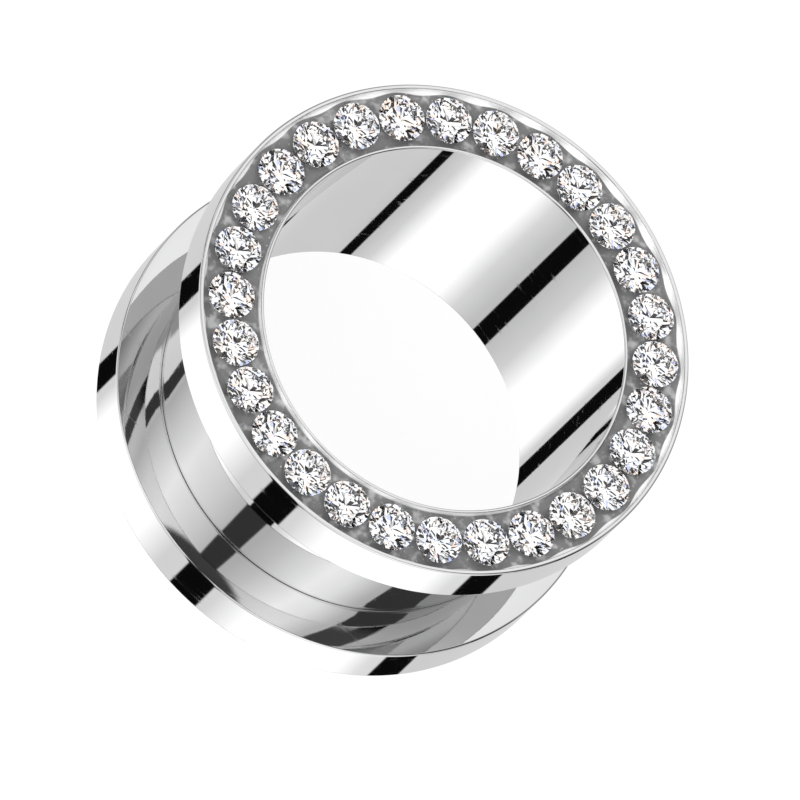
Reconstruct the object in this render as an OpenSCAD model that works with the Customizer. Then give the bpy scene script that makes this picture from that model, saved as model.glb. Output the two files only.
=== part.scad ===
// Screw-fit ear tunnel: a tube with a stone-set front flange and a back ring that screws on behind the lobe.
// It stands on the back ring's flat rear face, with its axis on Z and its stones facing up.

/* [Barrel] */
// Outside diameter of the barrel, the gauge of the piercing
barrel_d = 14; // [10:0.5:24]
// Thickness of the barrel's wall around the open bore
barrel_wall = 0.7; // [0.6:0.05:1]
// Length of bare barrel between the two flanges, where the lobe sits
wear_l = 5.8; // [4:0.2:12]

/* [Front flange] */
// Thickness of the front flange
front_t = 2; // [1.6:0.1:3]
// Width of the bright rim outside the stone channel
outer_rim = 0.15; // [0.12:0.01:0.5]
// Width of the bright rim between the bore and the stone channel
inner_rim = 0.1; // [0.08:0.01:0.4]
// Depth of the stone channel below the rims
channel_depth = 0.28; // [0.2:0.01:0.4]
// Radius of the hollow corners along the channel floor
channel_fillet = 0.08; // [0.03:0.01:0.12]

/* [Stones] */
// Diameter of each round stone at its girdle
stone_d = 1.6; // [1.3:0.05:2]
// Least gap between the girdles of two neighbours
stone_gap = 0.05; // [0.03:0.01:0.2]
// Gap between a girdle and the channel's walls
channel_gap = 0.2; // [0.06:0.01:0.3]
// Height of the thin girdle band at its sixteen high points
girdle_t = 0.06; // [0.04:0.005:0.08]
// Depth of the girdle's upper edge below the rims
girdle_drop = 0.05; // [0:0.01:0.1]
// Width of the flat table across its corners, as a share of the stone's diameter
table_share = 0.57; // [0.5:0.01:0.65]
// Angle of the crown's main facets to the girdle
crown_angle = 34.5; // [30:0.5:38]
// Angle of the pavilion's main facets to the girdle
pavilion_angle = 40.8; // [38:0.2:43]
// Gap between a stone's pavilion and its cut seat
seat_gap = 0.04; // [0.03:0.005:0.06]
// How far each stone is turned on its own axis from its neighbour, in degrees
turn_step = 17; // [0:1:44]

/* [Back ring] */
// Thickness of the back ring
ring_t = 2; // [1.4:0.1:3]
// Length from one ridge of the fine thread to the next
thread_pitch = 0.4; // [0.3:0.05:0.5]
// Height of the thread's ridges
thread_depth = 0.13; // [0.08:0.01:0.16]
// Radial clearance between the ring's ridges and the barrel's
thread_gap = 0.04; // [0.02:0.01:0.06]
// Width of the step on the barrel that bears on the ring
shoulder_w = 0.12; // [0.1:0.01:0.14]
// Gap between that step and the ring
shoulder_gap = 0.03; // [0.01:0.01:0.06]
// Length of the plain turned neck between the step and the first ridge
relief_l = 0.25; // [0.15:0.05:0.4]
// How far the barrel's end stays inside the ring's rear face
end_inset = 0.05; // [0:0.01:0.1]

/* [Edges] */
// Broken edge on the flanges' outer corners
edge_chamfer = 0.06; // [0.03:0.01:0.08]
// Broken edge at the two mouths of the bore
bore_chamfer = 0.04; // [0.02:0.01:0.06]

/* [Hidden] */
// How far a cut runs past the face that it opens
overshoot = 0.02;
// Barrel and flanges
barrel_r = barrel_d / 2;
bore_r = barrel_r - barrel_wall;
ring_top = ring_t;
front_z = ring_top + wear_l;
face_z = front_z + front_t;
// Stone channel, which is as wide as the stones and their side gaps
channel_in_r = bore_r + inner_rim;
channel_out_r = channel_in_r + stone_d + 2 * channel_gap;
flange_r = channel_out_r + outer_rim;
floor_z = face_z - channel_depth;
// Stones
main_facets = 8;
girdle_points = 4 * main_facets;
main_step = 360 / main_facets;
girdle_step = 360 / girdle_points;
star_share = 0.5;
lower_half_share = 0.77;
stone_r = stone_d / 2;
table_r = stone_r * table_share;
stone_row_r = (channel_in_r + channel_out_r) / 2;
stone_count = floor(180 / asin((stone_d + stone_gap) / 2 / stone_row_r));
stone_step = 360 / stone_count;
girdle_top_z = face_z - girdle_drop;
pavilion_h = stone_r * tan(pavilion_angle);
// Heights within a stone, measured from the culet at its lower tip
girdle_low_h = pavilion_h;
girdle_high_h = girdle_low_h + girdle_t;
table_h = girdle_high_h + (stone_r - table_r) * tan(crown_angle);
culet_z = girdle_top_z - girdle_high_h;
// Where the star facets and the lower halves meet the main facets
table_flat_r = table_r * cos(main_step / 2);
star_r = table_flat_r + star_share * (stone_r - table_flat_r);
star_h = girdle_high_h + (stone_r - star_r * cos(main_step / 2)) * tan(crown_angle);
lower_r = (1 - lower_half_share) * stone_r;
lower_h = girdle_low_h - (stone_r - lower_r * cos(main_step / 2)) * tan(pavilion_angle);
// How far the round girdle swells past a facet's chord, and the scallop that this cuts
chord_swell = stone_r * (1 - cos(girdle_step));
upper_scallop = chord_swell * (star_h - girdle_high_h) / ((stone_r - star_r) * cos(girdle_step));
lower_scallop = chord_swell * (girdle_low_h - lower_h) / ((stone_r - lower_r) * cos(girdle_step));
// Thread
male_crest_r = barrel_r - shoulder_w;
male_root_r = male_crest_r - thread_depth;
female_crest_r = male_crest_r + thread_gap;
female_root_r = female_crest_r + thread_depth;
thread_top_z = ring_top - relief_l;
end_land = bore_chamfer + overshoot;
thread_turns = floor((thread_top_z - end_inset - end_land) / thread_pitch);
thread_low_z = thread_top_z - thread_turns * thread_pitch;
// Evaluation
fillet_steps = 4;
$fn = 128;

function digits(i) = str(i < 10 ? "0" : "", i);
STONES = [for (i = [1 : stone_count]) str("stone_", digits(i))];

// A point at a radius, angle and height
function polar(r, a, h) = [r * cos(a), r * sin(a), h];

// A quarter of a circle about a centre in the r-z plane, between two angles
function corner_arc(c, r, a0, a1) =
    [for (i = [0 : fillet_steps]) let (a = a0 + (a1 - a0) * i / fillet_steps) c + r * [cos(a), sin(a)]];

// Ridges of the fine thread as a zigzag that rises along the axis, from root to crest and back
function thread_zigzag(root_r, crest_r) =
    [for (i = [0 : thread_turns - 1], half = [0, 1])
        [half == 0 ? root_r : crest_r, thread_low_z + (i + half / 2) * thread_pitch]];

// Outline of the tunnel body to the right of the axis
function body_outline() = concat(
    [[bore_r + bore_chamfer, end_inset],
     [male_root_r - bore_chamfer, end_inset],
     [male_root_r, end_inset + bore_chamfer]],
    thread_zigzag(male_root_r, male_crest_r),
    [[male_root_r, thread_top_z],
     [male_root_r, ring_top + shoulder_gap],
     [barrel_r, ring_top + shoulder_gap],
     [barrel_r, front_z],
     [flange_r - edge_chamfer, front_z],
     [flange_r, front_z + edge_chamfer],
     [flange_r, face_z - edge_chamfer],
     [flange_r - edge_chamfer, face_z],
     [channel_out_r, face_z]],
    corner_arc([channel_out_r - channel_fillet, floor_z + channel_fillet], channel_fillet, 0, -90),
    corner_arc([channel_in_r + channel_fillet, floor_z + channel_fillet], channel_fillet, -90, -180),
    [[channel_in_r, face_z],
     [bore_r + bore_chamfer, face_z],
     [bore_r, face_z - bore_chamfer],
     [bore_r, end_inset + bore_chamfer]]);

// Outline of the back ring to the right of the axis
function ring_outline() = concat(
    [[flange_r - edge_chamfer, 0],
     [flange_r, edge_chamfer],
     [flange_r, ring_top - edge_chamfer],
     [flange_r - edge_chamfer, ring_top],
     [female_crest_r, ring_top],
     [female_crest_r, thread_top_z]],
    [for (i = [thread_turns - 1 : -1 : 0], half = [1, 0])
        [half == 0 ? female_crest_r : female_root_r, thread_low_z + (i + half / 2) * thread_pitch]],
    [[female_crest_r, 0]]);

// Conical seat for one stone's pavilion, open at the channel floor
module stone_seat() {
    seat_h = pavilion_h + seat_gap;
    cut_h = floor_z + overshoot - culet_z + seat_gap;
    translate([0, 0, culet_z - seat_gap])
        cylinder(h = cut_h, r1 = seat_gap, r2 = seat_gap + stone_r * cut_h / seat_h);
}

// Round brilliant with its culet at the origin: a table, eight stars, eight kites, sixteen upper halves,
// a scalloped girdle, sixteen lower halves and eight pavilion mains
module brilliant() {
    n = main_facets;
    m = girdle_points;
    table0 = 0;
    star0 = table0 + n;
    upper0 = star0 + n;
    lower0 = upper0 + m;
    half0 = lower0 + m;
    culet0 = half0 + n;
    points = concat(
        [for (k = [0 : n - 1]) polar(table_r, k * main_step, table_h)],
        [for (k = [0 : n - 1]) polar(star_r, (k + 0.5) * main_step, star_h)],
        [for (j = [0 : m - 1]) polar(stone_r, j * girdle_step, girdle_high_h - (j % 2) * upper_scallop)],
        [for (j = [0 : m - 1]) polar(stone_r, j * girdle_step, girdle_low_h + (j % 2) * lower_scallop)],
        [for (k = [0 : n - 1]) polar(lower_r, (k + 0.5) * main_step, lower_h)],
        [[0, 0, 0]]);
    table = [[for (k = [n - 1 : -1 : 0]) table0 + k]];
    stars = [for (k = [0 : n - 1]) [table0 + (k + 1) % n, star0 + k, table0 + k]];
    kites = [for (k = [0 : n - 1]) [star0 + k, upper0 + 4 * k, star0 + (k + n - 1) % n, table0 + k]];
    upper_halves = [for (k = [0 : n - 1], s = [0, 2])
        [for (j = [2, 1, 0]) upper0 + (4 * k + s + j) % m, star0 + k]];
    girdle = [for (j = [0 : m - 1])
        [upper0 + j, upper0 + (j + 1) % m, lower0 + (j + 1) % m, lower0 + j]];
    lower_halves = [for (k = [0 : n - 1], s = [0, 2])
        [for (j = [0, 1, 2]) lower0 + (4 * k + s + j) % m, half0 + k]];
    mains = [for (k = [0 : n - 1]) [half0 + (k + n - 1) % n, lower0 + 4 * k, half0 + k, culet0]];
    polyhedron(points, concat(table, stars, kites, upper_halves, girdle, lower_halves, mains));
}

// Tube, stone-set front flange and threaded rear end, turned from one piece of polished steel
module tunnel_body() {
    color("silver") difference() {
        rotate_extrude() polygon(body_outline());
        for (i = [0 : stone_count - 1])
            rotate(i * stone_step) translate([stone_row_r, 0, 0]) stone_seat();
    }
}

// Flat ring with a fine internal thread that holds the tunnel in the lobe from behind
module back_ring() {
    color("lightgray") rotate_extrude() polygon(ring_outline());
}

// One clear stone in its place in the row, counted from +X
module stone(i) {
    color("white") rotate(i * stone_step) translate([stone_row_r, 0, culet_z])
        rotate(i * turn_step) brilliant();
}

tunnel_body();
back_ring();
for (i = [0 : stone_count - 1]) stone(i);
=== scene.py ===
import math

import bpy
from mathutils import Matrix, Vector


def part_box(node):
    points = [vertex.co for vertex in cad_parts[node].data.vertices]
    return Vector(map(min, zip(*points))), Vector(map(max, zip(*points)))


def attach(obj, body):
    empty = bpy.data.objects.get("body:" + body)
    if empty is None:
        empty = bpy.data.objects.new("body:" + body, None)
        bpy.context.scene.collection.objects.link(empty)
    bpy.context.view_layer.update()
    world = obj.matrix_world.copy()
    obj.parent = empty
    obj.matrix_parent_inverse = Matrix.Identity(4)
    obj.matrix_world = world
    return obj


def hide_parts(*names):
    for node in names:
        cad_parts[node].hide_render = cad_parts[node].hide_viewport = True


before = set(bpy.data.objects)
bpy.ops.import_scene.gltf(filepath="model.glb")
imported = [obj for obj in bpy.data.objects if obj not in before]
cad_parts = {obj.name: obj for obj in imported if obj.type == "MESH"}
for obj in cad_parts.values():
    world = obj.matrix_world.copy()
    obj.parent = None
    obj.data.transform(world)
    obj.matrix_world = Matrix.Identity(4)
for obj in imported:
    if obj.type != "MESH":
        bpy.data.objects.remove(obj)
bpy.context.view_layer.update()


# The back ring is a flat ring of polished surgical steel, turned on a lathe with a fine thread cut inside.
# It screws onto the rear end of the tube and holds the tunnel in the lobe from behind.
# Its front face falls away slightly towards the outer edge, as the reflections in the photo suggest.
MM = 0.001
TURN_STEPS = 288
CORNER_STEPS = 6
EDGE_HOLD = 0.008
MERGE_DISTANCE = 1e-8
SMOOTH_ANGLE = math.radians(28)

ring_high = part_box("back_ring")[1]
flange_r = ring_high.x / MM
ring_top = ring_high.z / MM
edge_round = 0.06
mouth_round = 0.015
crown_tilt = 4
crown_width = 1.2
crown_r = edge_round + crown_width / math.sin(math.radians(crown_tilt))
crown_drop = (crown_r - edge_round) * (1 - math.cos(math.radians(crown_tilt)))
thread_pitch = 0.4
thread_turns = 4
thread_depth = 0.13
thread_flat = 0.03
thread_inset = 0.25
thread_top = ring_top - thread_inset
thread_low = thread_top - thread_turns * thread_pitch
ring_crest_r = 6.92
ring_thread_zone = (6.8, 7.08)


def corner(centre_r, centre_z, radius, start, end):
    """A rounded corner between two angles in degrees, with a point close by on each face that it joins."""
    angles = [math.radians(start + (end - start) * i / CORNER_STEPS) for i in range(CORNER_STEPS + 1)]
    arc = [(centre_r + radius * math.cos(a), centre_z + radius * math.sin(a)) for a in angles]
    hold = math.copysign(EDGE_HOLD, end - start)
    (r0, z0), (r1, z1) = arc[0], arc[-1]
    before = (r0 + hold * math.sin(angles[0]), z0 - hold * math.cos(angles[0]))
    after = (r1 - hold * math.sin(angles[-1]), z1 + hold * math.cos(angles[-1]))
    return [before] + arc + [after]


def thread(root_r, crest_r):
    """Ridges of the fine thread from its lower end to its upper end, each with a narrow flat crest."""
    points = []
    for turn in range(thread_turns):
        start = thread_low + turn * thread_pitch
        middle = start + thread_pitch / 2
        points += [(root_r, start), (crest_r, middle - thread_flat), (crest_r, middle + thread_flat)]
    return points + [(root_r, thread_top)]


def turned(name, outline):
    """A piece turned from an outline of (radius, height) points in millimetres."""
    first_r, first_z = outline[0]
    bpy.ops.object.select_all(action="DESELECT")
    bpy.ops.mesh.primitive_plane_add(size=MM, location=(first_r * MM, 0, first_z * MM))
    piece = bpy.context.object
    piece.name = name
    piece.data.name = name
    bpy.ops.object.transform_apply(location=True, rotation=True, scale=True)
    bpy.ops.object.mode_set(mode="EDIT")
    bpy.ops.mesh.select_all(action="SELECT")
    bpy.ops.mesh.merge(type="CENTER")
    for (r0, z0), (r1, z1) in zip(outline, outline[1:] + outline[:1]):
        step = ((r1 - r0) * MM, 0, (z1 - z0) * MM)
        bpy.ops.mesh.extrude_region_move(TRANSFORM_OT_translate={"value": step})
    bpy.ops.mesh.select_all(action="SELECT")
    bpy.ops.mesh.remove_doubles(threshold=MERGE_DISTANCE)
    bpy.ops.mesh.spin(steps=TURN_STEPS, angle=math.tau, center=(0, 0, 0), axis=(0, 0, 1))
    bpy.ops.mesh.select_all(action="SELECT")
    bpy.ops.mesh.remove_doubles(threshold=MERGE_DISTANCE)
    bpy.ops.mesh.normals_make_consistent(inside=False)
    bpy.ops.object.mode_set(mode="OBJECT")
    return piece


def polished_form(piece):
    """Smooths the turned faces and keeps their sharp edges."""
    bpy.ops.object.select_all(action="DESELECT")
    piece.select_set(True)
    bpy.context.view_layer.objects.active = piece
    bpy.ops.object.shade_smooth_by_angle(angle=SMOOTH_ANGLE)


class Shade:
    """A shader socket. Arithmetic on it adds Math nodes, and node() adds any other node to its tree."""

    def __init__(self, tree, socket=None):
        self.tree = tree
        self.socket = socket

    def node(self, kind, settings, sockets, output=0):
        made = self.tree.nodes.new(kind)
        for name, value in settings.items():
            if name == "stops":
                ramp = made.color_ramp.elements
                while len(ramp) < len(value):
                    ramp.new(0.5)
                for element, (position, grey) in zip(ramp, value):
                    element.position = position
                    element.color = (grey, grey, grey, 1)
            else:
                setattr(made, name, value)
        for name, value in sockets.items():
            if isinstance(value, Shade):
                self.tree.links.new(value.socket, made.inputs[name])
            else:
                made.inputs[name].default_value = value
        return Shade(self.tree, made.outputs[output])

    def maths(self, operation, *values):
        return self.node("ShaderNodeMath", {"operation": operation}, dict(enumerate(values)))

    def __add__(self, other):
        return self.maths("ADD", self, other)

    def __radd__(self, other):
        return self.maths("ADD", other, self)

    def __sub__(self, other):
        return self.maths("SUBTRACT", self, other)

    def __rsub__(self, other):
        return self.maths("SUBTRACT", other, self)

    def __mul__(self, other):
        return self.maths("MULTIPLY", self, other)

    def __rmul__(self, other):
        return self.maths("MULTIPLY", other, self)

    def __truediv__(self, other):
        return self.maths("DIVIDE", self, other)

    def split(self):
        """The three parts of a vector."""
        return [self.node("ShaderNodeSeparateXYZ", {}, {"Vector": self}, i) for i in range(3)]

    def above(self, limit, soft):
        """1 where this value is over a limit and 0 where it is under it, with a soft edge."""
        edge = {"Value": self, "From Min": limit - soft, "From Max": limit + soft}
        return self.node("ShaderNodeMapRange", {"interpolation_type": "SMOOTHSTEP"}, edge)

    def below(self, limit, soft):
        """1 where this value is under a limit and 0 where it is over it, with a soft edge."""
        return 1 - self.above(limit, soft)

    def between(self, low, high, soft):
        """1 where this value lies between two limits and 0 elsewhere, with soft edges."""
        return self.above(low, soft) * self.below(high, soft)


def noise(place, scale, detail, roughness=0.5):
    """A cloudy pattern from 0 to 1, finer with a larger scale and grainier with more detail."""
    sockets = {"Vector": place, "Scale": scale, "Detail": detail, "Roughness": roughness}
    return place.node("ShaderNodeTexNoise", {}, sockets, "Fac")


def blend_colour(share, first, second):
    """Mixes two colours by a share from 0 to 1."""
    settings = {"data_type": "RGBA"}
    return share.node("ShaderNodeMix", settings, {"Factor": share, 6: first, 7: second}, 2)


def new_finish(name):
    """A new node material, with its tree to build on and its Principled shader to feed."""
    material = bpy.data.materials.new(name)
    material.use_nodes = True
    tree = material.node_tree
    return material, Shade(tree), tree.nodes["Principled BSDF"]


def feed(shader, **sockets):
    """Links or sets the sockets of a shader."""
    for name, value in sockets.items():
        target = shader.inputs[name.replace("_", " ")]
        if isinstance(value, Shade):
            value.tree.links.new(value.socket, target)
        else:
            target.default_value = value


STEEL = (0.70, 0.70, 0.70, 1)
STEEL_SHADED = (0.67, 0.67, 0.673, 1)
THREAD_STEEL = (0.5, 0.5, 0.505, 1)
THREAD_SHARE = 0.8
POLISH_ROUGHNESS = 0.012
MARKS_ROUND = 1.5
MARKS_ACROSS = 26
SCRATCH_TURNS = (35, 118)
SCRATCH_TILT = (0.2, 0.1)
SCRATCH_SCALE = (90, 3200, 3200)
SCRATCH_LIMIT = 0.70
RELIEF_STRENGTH = 0.25
RELIEF_HEIGHT = 1e-6


def lathe_marks(radius, height, angle, seed):
    """Fine marks that run round the axis, as polishing on a lathe leaves them."""
    along = {"X": angle * MARKS_ROUND + seed, "Y": radius * MARKS_ACROSS, "Z": height * MARKS_ACROSS}
    unrolled = radius.node("ShaderNodeCombineXYZ", {}, along)
    return noise(unrolled, scale=1, detail=5, roughness=0.65)


def scratches(place, seed):
    """Sparse hairline scratches from handling, lying in two directions."""
    lines = []
    for turn in SCRATCH_TURNS:
        rotation = (*SCRATCH_TILT, math.radians(turn + seed))
        sockets = {"Vector": place, "Rotation": rotation, "Scale": SCRATCH_SCALE}
        stretched = place.node("ShaderNodeMapping", {}, sockets)
        lines.append(noise(stretched, scale=1, detail=2, roughness=0.4).above(SCRATCH_LIMIT, soft=0.03))
    return place.maths("MAXIMUM", *lines)


def steel_finish(name, seed, thread_zone, other_zone=None):
    """Mirror-polished steel with faint marks and its thread left as cut. Another zone may change its look."""
    material, shade, shader = new_finish(name)
    place = shade.node("ShaderNodeTexCoord", {}, {}, "Object")
    x, y, height = [axis * (1 / MM) for axis in place.split()]
    radius = shade.maths("SQRT", x * x + y * y)
    angle = shade.maths("ARCTAN2", y, x)
    marks = lathe_marks(radius, height, angle, seed)
    hairlines = scratches(place, seed)
    clouds = noise(place, scale=260, detail=3)
    as_cut = radius.between(*thread_zone, soft=0.01) * height.between(0, ring_top, soft=0.02)
    clouded = blend_colour(clouds.above(0.5, soft=0.25), STEEL, STEEL_SHADED)
    look = {
        "Base_Color": blend_colour(as_cut * THREAD_SHARE, clouded, THREAD_STEEL),
        "Metallic": 1.0,
        "Roughness": POLISH_ROUGHNESS + marks * 0.02 + clouds * 0.012 + hairlines * 0.05 + as_cut * 0.22,
        "Relief": marks * 0.25 + hairlines * -0.5 + as_cut * marks * 6,
    }
    if other_zone:
        other_zone(place, radius, height, angle, look)
    bump = {"Strength": RELIEF_STRENGTH, "Distance": RELIEF_HEIGHT, "Height": look.pop("Relief")}
    feed(shader, Normal=place.node("ShaderNodeBump", {}, bump), **look)
    return material


crown = corner(flange_r - edge_round - crown_width, ring_top - crown_r, crown_r, 90 - crown_tilt, 90)
ring_outline = (
    corner(flange_r - edge_round, edge_round, edge_round, -90, 0)
    + corner(flange_r - edge_round, ring_top - edge_round - crown_drop, edge_round, 0, 90 - crown_tilt)
    + crown[2:]  # its first two points would overlap the outer edge's last two
    + corner(ring_crest_r + mouth_round, ring_top - mouth_round, mouth_round, 90, 180)
    + thread(ring_crest_r, ring_crest_r + thread_depth)[::-1]
    + corner(ring_crest_r + mouth_round, mouth_round, mouth_round, 180, 270)
)
back_ring = turned("turned_back_ring", ring_outline)
polished_form(back_ring)
back_ring.data.materials.append(steel_finish("ring_steel", seed=7, thread_zone=ring_thread_zone))
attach(back_ring, "ring")
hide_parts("back_ring")


# The tunnel body is the tube and the front flange, turned from one bar of the same steel and mirror polished.
# A satin channel is cut in the flange's face, with one drilled cone for each stone, and a thread at the rear.
body_low, body_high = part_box("tunnel_body")
stone_names = sorted(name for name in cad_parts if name.startswith("stone_"))
stone_low, stone_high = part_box(stone_names[0])
stone_step = math.tau / len(stone_names)
stone_r = (stone_high.y - stone_low.y) / 2 / MM
stone_row_r = (stone_high.x + stone_low.x) / 2 / MM
culet_z = stone_low.z / MM

face_z = body_high.z / MM
rear_z = body_low.z / MM
flange_thickness = 2
flange_low_z = face_z - flange_thickness
bore_r = 6.3
barrel_r = 7.0
bore_round = 0.04
channel_gap = 0.2
channel_in_r = stone_row_r - stone_r - channel_gap
channel_out_r = stone_row_r + stone_r + channel_gap
channel_depth = 0.28
channel_floor_z = face_z - channel_depth
channel_round = 0.08
rim_round = 0.02
neck_crest_r = 6.88
neck_r = neck_crest_r - thread_depth
neck_thread_zone = (6.7, 6.9)
shoulder_gap = 0.03
shoulder_z = ring_top + shoulder_gap
shoulder_round = 0.015
pavilion_h = 0.69
seat_gap = 0.04
seat_overcut = 0.02
seat_tip_z = culet_z - seat_gap
seat_depth = channel_floor_z + seat_overcut - seat_tip_z
seat_mouth_r = seat_gap + stone_r * seat_depth / (pavilion_h + seat_gap)
SEAT_SIDES = 40

body_outline = (
    corner(bore_r + bore_round, rear_z + bore_round, bore_round, 180, 270)
    + corner(neck_r - bore_round, rear_z + bore_round, bore_round, -90, 0)
    + thread(neck_r, neck_crest_r)
    + corner(neck_r + shoulder_round, shoulder_z - shoulder_round, shoulder_round, 180, 90)
    + corner(barrel_r - shoulder_round, shoulder_z + shoulder_round, shoulder_round, -90, 0)
    + corner(barrel_r + edge_round, flange_low_z - edge_round, edge_round, 180, 90)
    + corner(flange_r - edge_round, flange_low_z + edge_round, edge_round, -90, 0)
    + corner(flange_r - edge_round, face_z - edge_round, edge_round, 0, 90)
    + corner(channel_out_r + rim_round, face_z - rim_round, rim_round, 90, 180)
    + corner(channel_out_r - channel_round, channel_floor_z + channel_round, channel_round, 0, -90)
    + corner(channel_in_r + channel_round, channel_floor_z + channel_round, channel_round, -90, -180)
    + corner(channel_in_r - rim_round, face_z - rim_round, rim_round, 0, 90)
    + corner(bore_r + bore_round, face_z - bore_round, bore_round, 90, 180)
)
tunnel_body = turned("turned_tunnel_body", body_outline)

seats = []
for i in range(len(stone_names)):
    turn = i * stone_step
    centre = (stone_row_r * math.cos(turn), stone_row_r * math.sin(turn), seat_tip_z + seat_depth / 2)
    bpy.ops.object.select_all(action="DESELECT")
    bpy.ops.mesh.primitive_cone_add(
        vertices=SEAT_SIDES,
        radius1=seat_gap * MM,
        radius2=seat_mouth_r * MM,
        depth=seat_depth * MM,
        location=[c * MM for c in centre],
        rotation=(0, 0, turn),
    )
    seats.append(bpy.context.object)
for seat in seats:
    seat.select_set(True)
bpy.ops.object.join()
seat_cutter = bpy.context.object
drilled = tunnel_body.modifiers.new("seats", "BOOLEAN")
drilled.operation = "DIFFERENCE"
drilled.solver = "EXACT"
drilled.object = seat_cutter
bpy.ops.object.select_all(action="DESELECT")
tunnel_body.select_set(True)
bpy.context.view_layer.objects.active = tunnel_body
bpy.ops.object.modifier_apply(modifier=drilled.name)
bpy.data.objects.remove(seat_cutter)

CHANNEL_GREY = (0.2, 0.2, 0.202, 1)
# A pale painted sheen: random patches standing in for soft reflections of the stones in the satin floor
CHANNEL_PAINTED_SHEEN = (0.5, 0.5, 0.5, 1)
# Painted glints: small pale specks in the channel's colour that stand in for bright glints
CHANNEL_PAINTED_GLINT = (0.75, 0.75, 0.75, 1)
# A painted reflection: the walls are painted matt white, and not metallic, where a polished wall would mirror
# the stones and the light
CHANNEL_PAINTED_REFLECTION = (0.95, 0.95, 0.95, 1)
CHANNEL_METALLIC = 0.2
zone_overlap = 0.01
rim_polish = 0.03
wall_foot = 0.04
girdle_reflection_width = 0.05


def satin_channel(place, radius, height, angle, look):
    """Gives the stone channel its satin grey with painted sheen and glints, and paints its walls matt white,
    scalloped between the stones: a painted reflection of the stones in a polished wall.
    """
    across = radius.between(channel_in_r - zone_overlap, channel_out_r + zone_overlap, soft=0.008)
    satin = across * height.between(seat_tip_z, face_z - rim_polish, soft=0.02)
    # The scalloped edge of the white is the painted reflection of the stones' girdles, reaching lower between
    # the stones
    between_stones = 1 - angle.maths("COSINE", angle * len(stone_names))
    girdle_reflection_limit = channel_out_r + zone_overlap - girdle_reflection_width
    girdle_reflection = (radius + between_stones * girdle_reflection_width).above(girdle_reflection_limit, soft=0.02)
    girdle_reflection = girdle_reflection * height.above(channel_floor_z - zone_overlap, soft=0.005)
    painted_reflection_zone = angle.maths("MAXIMUM", height.above(channel_floor_z + wall_foot, soft=0.03), girdle_reflection)
    grain_and_painted_glints = noise(place, scale=9000, detail=3, roughness=0.7)
    patches_and_painted_sheen = noise(place, scale=2200, detail=2)
    # Pale random patches on the grey are painted sheen; the same patches also vary the roughness and relief
    satin_and_painted_light = blend_colour(patches_and_painted_sheen.above(0.59, soft=0.1), CHANNEL_GREY, CHANNEL_PAINTED_SHEEN)
    # Pale specks are painted glints; the same grain also roughens the satin and gives it relief
    satin_and_painted_light = blend_colour(grain_and_painted_glints.above(0.68, soft=0.05), satin_and_painted_light, CHANNEL_PAINTED_GLINT)
    satin_and_painted_light = blend_colour(painted_reflection_zone, satin_and_painted_light, CHANNEL_PAINTED_REFLECTION)
    look["Base_Color"] = blend_colour(satin, look["Base_Color"], satin_and_painted_light)
    look["Metallic"] = 1 - satin * (1 - CHANNEL_METALLIC + painted_reflection_zone * CHANNEL_METALLIC)
    look["Roughness"] = look["Roughness"] + satin * (0.3 + grain_and_painted_glints * 0.16 - patches_and_painted_sheen * 0.1)
    look["Relief"] = look["Relief"] + satin * (grain_and_painted_glints * 6 + patches_and_painted_sheen * 18)


polished_form(tunnel_body)
body_steel = steel_finish("polished_steel", seed=3, thread_zone=neck_thread_zone, other_zone=satin_channel)
tunnel_body.data.materials.append(body_steel)
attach(tunnel_body, "tunnel")
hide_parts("tunnel_body")


# The stones are clear round brilliants with polished facets, one in each seat round the channel.
# Each is its own piece, turned a little from its neighbour, so that no two flash alike.
COLOURLESS = (1, 1, 1, 1)
# Painted fire: warm and cool tints in the colourless stones that stand in for the coloured flashes of split
# light
PAINTED_FIRE_WARM = (1.0, 0.86, 0.76, 1)
PAINTED_FIRE_COOL = (0.78, 0.84, 1.0, 1)
FACET_GLOSS = (0.25, 0.25, 0.25, 1)
STONE_IOR = 2.2

clear_stone, shade, shader = new_finish("clear_stone")
# Random warm and cool patches of painted fire in the stones' colour
painted_fire_pattern = noise(shade.node("ShaderNodeTexCoord", {}, {}, "Object"), scale=2600, detail=1)
warm_painted_fire = blend_colour(painted_fire_pattern.above(0.62, soft=0.03), COLOURLESS, PAINTED_FIRE_WARM)
painted_fire_colour = blend_colour(painted_fire_pattern.below(0.38, soft=0.03), warm_painted_fire, PAINTED_FIRE_COOL)
feed(shader, Base_Color=painted_fire_colour, Roughness=0.0, Specular_Tint=FACET_GLOSS)
feed(shader, IOR=STONE_IOR, Transmission_Weight=1.0)
for name in stone_names:
    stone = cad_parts[name]
    stone.data.materials.clear()
    stone.data.materials.append(clear_stone)


# The studio is a pale floor under a soft white dome, whose black flags draw the steel's dark stripes.
# The dome goes on underneath, where the back ring's face sees it, with a round dark card straight below.
# A lit well gives the tube's inside its own stripes, and a soft lamp lights the satin channel.
RIG_TURN = math.radians(-3.2)
VIEW_ELEVATION = math.radians(60.5)
FLAG_EDGE = 0.6
WHITE = 1.5
TOP_LEVEL = 2
HORIZON_BAND = 0.6
HORIZON_LOSS = 0.28
UNDER_HEIGHT = -0.89
UNDER_CARD_ELEVATION = math.radians(80)
UNDER_CARD = math.radians(14.5)
LENS_CARD = math.radians(15)

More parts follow.
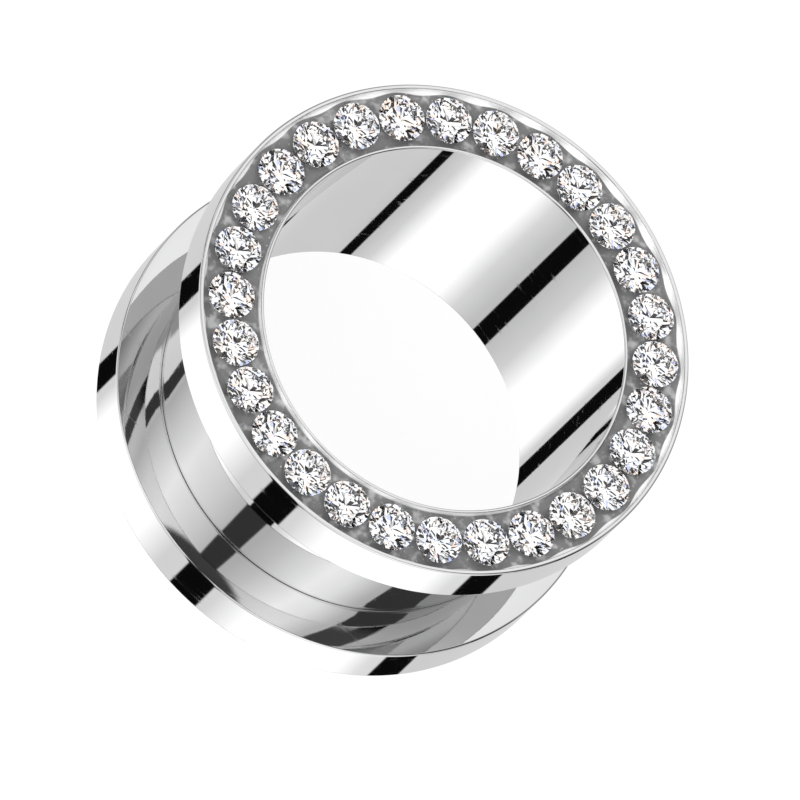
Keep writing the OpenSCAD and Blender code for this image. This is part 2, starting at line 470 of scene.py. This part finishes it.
# Brightness of the dome by bearing, in degrees from the camera's side and growing towards the right
LOWER_DOME = [
    (-180, 0.75), (-168, 0.75), (-94, 0.88), (-82, WHITE), (-32, WHITE), (-14, 0.9), (16, 0.95),
    (32, WHITE), (80, WHITE), (92, 1.0), (118, 0.8), (165, 0.75), (180, 0.75),
]
UPPER_DOME = [
    (-180, 1.18), (-165, 1.18), (-150, 0.47), (-122, 0.47), (-118, 1.2), (-94, 1.2), (-80, 0.8),
    (-64, 1.18), (-44, 1.6), (-16, 1.15), (-6, 0.95), (12, 0.84), (24, 1.05), (50, 1.75),
    (64, 1.5), (80, 0.88), (116, 0.42), (150, 0.46), (165, 1.12), (180, 1.18),
]
UNDER_DOME = [
    (-180, 0.8), (-125, 0.8), (-98, 1.3), (-90, 1.3), (-80, 1.14), (-64, 1.68), (-44, 2.0),
    (-16, 1.64), (-6, 1.36), (12, 1.2), (24, 1.5), (50, 2.0), (64, 2.0), (80, 1.26),
    (100, 1.2), (130, 0.9), (180, 0.9),
]

# The black flags of each part, from bearing to bearing, and how dark each part's flags are
LOWER_FLAGS = [(-112, -98), (-4, 12), (98, 113)]
UPPER_FLAGS = [(-94, -84), (-5, 9), (85, 115)]
UNDER_FLAGS = [(-112, -98), (-5, 9), (85, 115)]
LOWER_DARK = 0.004
UPPER_DARK = 0.06
UNDER_DARK = 0.12

# The dark and bright glitter that only the stones refract, with a few warm and cool spots
GLITTER_DARK = 0.005
GLITTER_BRIGHT = 1.22
GLITTER_LIMIT = 0.448
LENS_CARD_SHARE = 0.96
SPOT_WARM = (1.0, 0.78, 0.68, 1)
SPOT_COOL = (0.58, 0.66, 1.0, 1)


def rig_axes(vector):
    """The parts of a direction or place in the rig, which stands turned a little from the part."""
    return vector.node("ShaderNodeMapping", {}, {"Vector": vector, "Rotation": (0, 0, -RIG_TURN)}).split()


def bearing(x, y):
    """Bearing of a direction or place in degrees from the camera's side, growing towards the right."""
    return x.maths("ARCTAN2", x, 0 - y) * math.degrees(1)


def brightness(angle, stops):
    """Brightness by bearing, as a soft ramp through a few stops."""
    ramp = [((a + 180) / 360, level / TOP_LEVEL) for a, level in stops]
    return angle.node("ShaderNodeValToRGB", {"stops": ramp}, {"Fac": angle / 360 + 0.5}) * TOP_LEVEL


def flagged(angle, stops, flags, dark):
    """Brightness by bearing behind black flags."""
    level = brightness(angle, stops)
    for low, high in flags:
        flag = angle.between(low, high, soft=FLAG_EDGE)
        level = level * (1 - flag) + flag * dark
    return level


world = bpy.data.worlds.new("studio")
bpy.context.scene.world = world
world.use_nodes = True
sky = Shade(world.node_tree)
direction = sky.node("ShaderNodeTexCoord", {}, {}, "Generated")
x, y, z = rig_axes(direction)
around = bearing(x, y)
lower = flagged(around, LOWER_DOME, LOWER_FLAGS, LOWER_DARK)
upper = flagged(around, UPPER_DOME, UPPER_FLAGS, UPPER_DARK)
under = flagged(around, UNDER_DOME, UNDER_FLAGS, UNDER_DARK)

upward = z.above(0, soft=0.25)
near_horizon = z.between(-HORIZON_BAND, HORIZON_BAND, soft=0.15)
dome = (lower * (1 - upward) + upper * upward) * (1 - near_horizon * HORIZON_LOSS)
towards_card = -math.cos(UNDER_CARD_ELEVATION) * y - math.sin(UNDER_CARD_ELEVATION) * z
under_card = towards_card.above(math.cos(UNDER_CARD), soft=0.003)
under = under * (1 - under_card) + under_card * UNDER_DARK
deep = z.below(UNDER_HEIGHT, soft=0.01)
dome = dome * (1 - deep) + deep * under

towards_lens = z * math.sin(VIEW_ELEVATION) - y * math.cos(VIEW_ELEVATION)
lens_card = towards_lens.above(math.cos(LENS_CARD), soft=0.01)
sparkle = noise(direction, scale=3.6, detail=1).above(GLITTER_LIMIT, soft=0.02)
glitter = GLITTER_DARK + sparkle * (1 - lens_card * LENS_CARD_SHARE) * GLITTER_BRIGHT
spots = noise(direction, scale=9, detail=0)
spot_colour = blend_colour(spots.above(0.71, soft=0.02), COLOURLESS, SPOT_WARM)
spot_colour = blend_colour(spots.below(0.285, soft=0.02), spot_colour, SPOT_COOL)

seen = sky.node("ShaderNodeLightPath", {}, {}, "Is Camera Ray")
through_stone = sky.node("ShaderNodeLightPath", {}, {}, "Is Transmission Ray")
level = seen + (1 - seen) * (dome * (1 - through_stone) + through_stone * glitter)
light_colour = blend_colour(through_stone, COLOURLESS, spot_colour)
feed(world.node_tree.nodes["Background"], Color=light_colour, Strength=level)

FLOOR_GREY = (0.12, 0.12, 0.12, 1)
FLOOR_GLOW = 0.92
floor_size = 2
floor_z = -0.02 * MM
bpy.ops.object.select_all(action="DESELECT")
bpy.ops.mesh.primitive_plane_add(size=floor_size, location=(0, 0, floor_z))
floor = bpy.context.object
floor.name = "pale_floor"
floor.visible_glossy = False
floor.visible_transmission = False
floor.visible_shadow = False
material, shade, shader = new_finish("pale_floor")
feed(shader, Base_Color=FLOOR_GREY, Roughness=1.0, Specular_IOR_Level=0.0)
feed(shader, Emission_Color=COLOURLESS, Emission_Strength=FLOOR_GLOW)
floor.data.materials.append(material)

WELL_SIDES = 180
WELL_LEVELS = [
    (-180, 0.76), (-160, 0.76), (-136, 0.86), (-122, WHITE), (-80, WHITE), (-56, 0.9), (-34, 0.74),
    (-10, 0.74), (10, 0.96), (28, WHITE), (74, WHITE), (92, 0.9), (104, 0.76), (130, 0.81), (180, 0.76),
]
WELL_FLAGS = [(-158, -141), (-32, -15), (107, 117)]
well_r = 8 * MM
well_depth = 30 * MM
well_top = -0.05 * MM
bpy.ops.object.select_all(action="DESELECT")
bpy.ops.mesh.primitive_cylinder_add(
    vertices=WELL_SIDES,
    radius=well_r,
    depth=well_depth,
    end_fill_type="NOTHING",
    location=(0, 0, well_top - well_depth / 2),
)
well = bpy.context.object
well.name = "light_well"
bpy.ops.object.shade_smooth()
bpy.ops.object.transform_apply(location=True, rotation=True, scale=True)
well.visible_camera = False
well.visible_diffuse = False
well.visible_shadow = False
material, shade, shader = new_finish("light_well")
x, y = rig_axes(shade.node("ShaderNodeTexCoord", {}, {}, "Object"))[:2]
lit = flagged(bearing(x, y), WELL_LEVELS, WELL_FLAGS, LOWER_DARK)
glow = shade.node("ShaderNodeEmission", {}, {"Color": COLOURLESS, "Strength": lit})
feed(shade.tree.nodes["Material Output"], Surface=glow)
well.data.materials.append(material)

LAMP_ELEVATION = math.radians(28)
LAMP_SPREAD = math.radians(50)
LAMP_STRENGTH = 2.8
lamp_distance = 60 * MM


def looking_from(turn, elevation):
    """The rotation of a lamp or camera that looks at the tunnel from a turn and a height above the floor."""
    return Matrix.Rotation(turn, 3, "Z") @ Matrix.Rotation(math.pi / 2 - elevation, 3, "X")


lamp_turn = looking_from(RIG_TURN, LAMP_ELEVATION)
bpy.ops.object.select_all(action="DESELECT")
bpy.ops.object.light_add(type="SUN", location=lamp_turn @ Vector((0, 0, lamp_distance)))
lamp = bpy.context.object
lamp.name = "soft_lamp"
lamp.rotation_euler = lamp_turn.to_euler()
lamp.data.energy = LAMP_STRENGTH
lamp.data.angle = LAMP_SPREAD
lamp.visible_glossy = False
lamp.visible_transmission = False


# The camera stands far back with a long lens, at the photograph's angle to the tunnel.
# The bounces let light cross many polished facets and run between the mirror-polished faces.
VIEW_TURN = math.radians(-1.72)
VIEW_ROLL = math.radians(45.65)
SENSOR = 36
LENS = 1500
picture_w = 26.14 * MM
target_right = -1.467 * MM
target_up = -2.324 * MM

aim = looking_from(VIEW_TURN, VIEW_ELEVATION) @ Matrix.Rotation(VIEW_ROLL, 3, "Z")
distance = picture_w * LENS / SENSOR
target = Vector((0, 0, face_z * MM)) + aim @ Vector((target_right, target_up, 0))
camera_data = bpy.data.cameras.new("camera")
camera_data.lens = LENS
camera_data.sensor_width = SENSOR
camera = bpy.data.objects.new("camera", camera_data)
bpy.context.scene.collection.objects.link(camera)
camera.location = target + aim @ Vector((0, 0, distance))
camera.rotation_euler = aim.to_euler()
bpy.context.scene.camera = camera
bpy.context.scene.view_settings.view_transform = "Standard"
bpy.context.scene.cycles.max_bounces = 32
bpy.context.scene.cycles.glossy_bounces = 24
bpy.context.scene.cycles.transmission_bounces = 32
bpy.context.scene.cycles.transparent_max_bounces = 16
